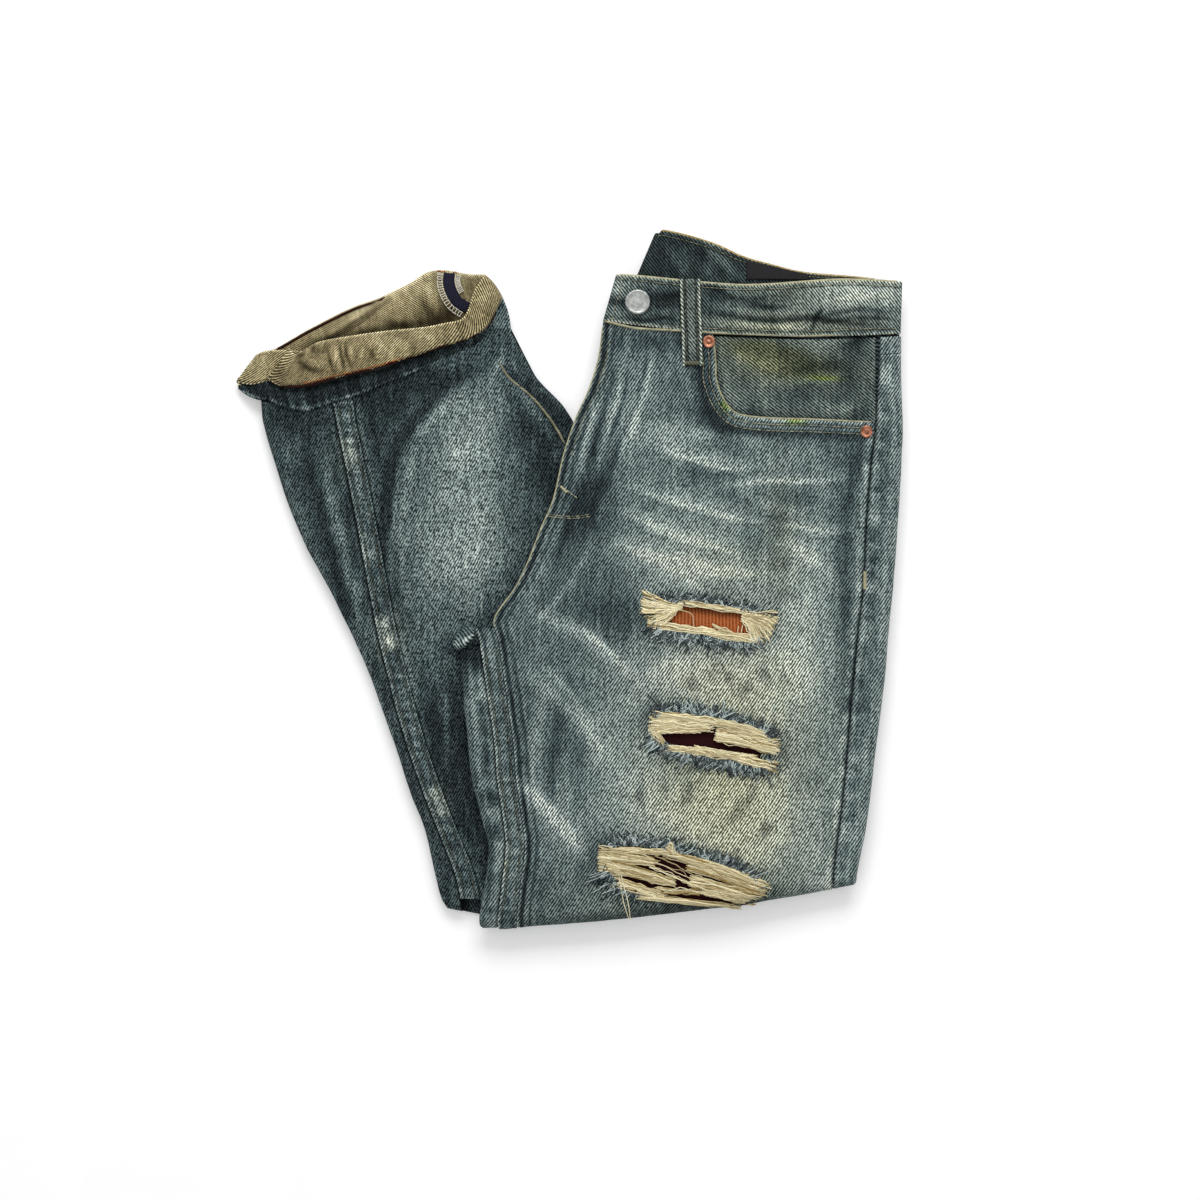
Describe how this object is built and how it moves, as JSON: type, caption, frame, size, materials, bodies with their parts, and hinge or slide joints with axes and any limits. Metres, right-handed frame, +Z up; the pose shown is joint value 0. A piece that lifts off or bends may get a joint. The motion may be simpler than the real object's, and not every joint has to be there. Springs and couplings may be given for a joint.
{
  "type": "ripped jeans",
  "caption": "Ripped blue denim jeans folded in half with both legs turned under at the knee, one hem turned up, lying flat.",
  "frame": {"origin": "middle of the folded garment's footprint, on the surface it lies on", "axes": "+Z up from the surface, +Y from the knee fold towards the waistband, +X towards the side seam of the upper half"},
  "size_m": [0.4673, 0.4889, 0.0317],
  "materials": {
    "denim": "washed blue twill",
    "denim_lower": "washed blue twill",
    "denim_inside": "inside face of tinted twill",
    "denim_dark": "dark blue twill",
    "pale_thread": "loose cotton threads",
    "rust_corduroy": "fine ribbed cotton",
    "maroon_cloth": "plain cotton",
    "navy_tape": "woven tape",
    "black_satin": "woven satin",
    "copper": "worn copper plate",
    "nickel": "dull nickel plate"
  },
  "bodies": {
    "root": {"hidden_layers": "denim_dark", "left_front_panel": "denim", "left_back_yoke": "denim", "left_back_panel": "denim", "left_back_inseam_strip": "denim_lower", "left_inseam_fell": "denim", "crotch_seam_roll": "denim_dark", "pocket_facing": "denim_inside", "rip_patch_1": "rust_corduroy", "rip_patch_2": "maroon_cloth", "rip_patch_3": "maroon_cloth", "rip_fringe_1": "pale_thread", "rip_fringe_2": "pale_thread", "rip_fringe_3": "pale_thread", "front_waistband": "denim", "back_waistband": "denim_dark", "back_label": "black_satin", "belt_loop": "denim", "waist_button": "nickel", "pocket_rivet_upper": "copper", "pocket_rivet_side": "copper", "right_leg_front": "denim_lower", "right_leg_back": "denim_lower", "right_leg_back_fold": "denim_lower", "right_leg_back_strip": "denim_lower", "right_inseam_fell": "denim_lower", "right_cuff": "denim_inside", "right_hem_band": "denim_dark", "outseam_allowance": "navy_tape"}
  },
  "joints": []
}
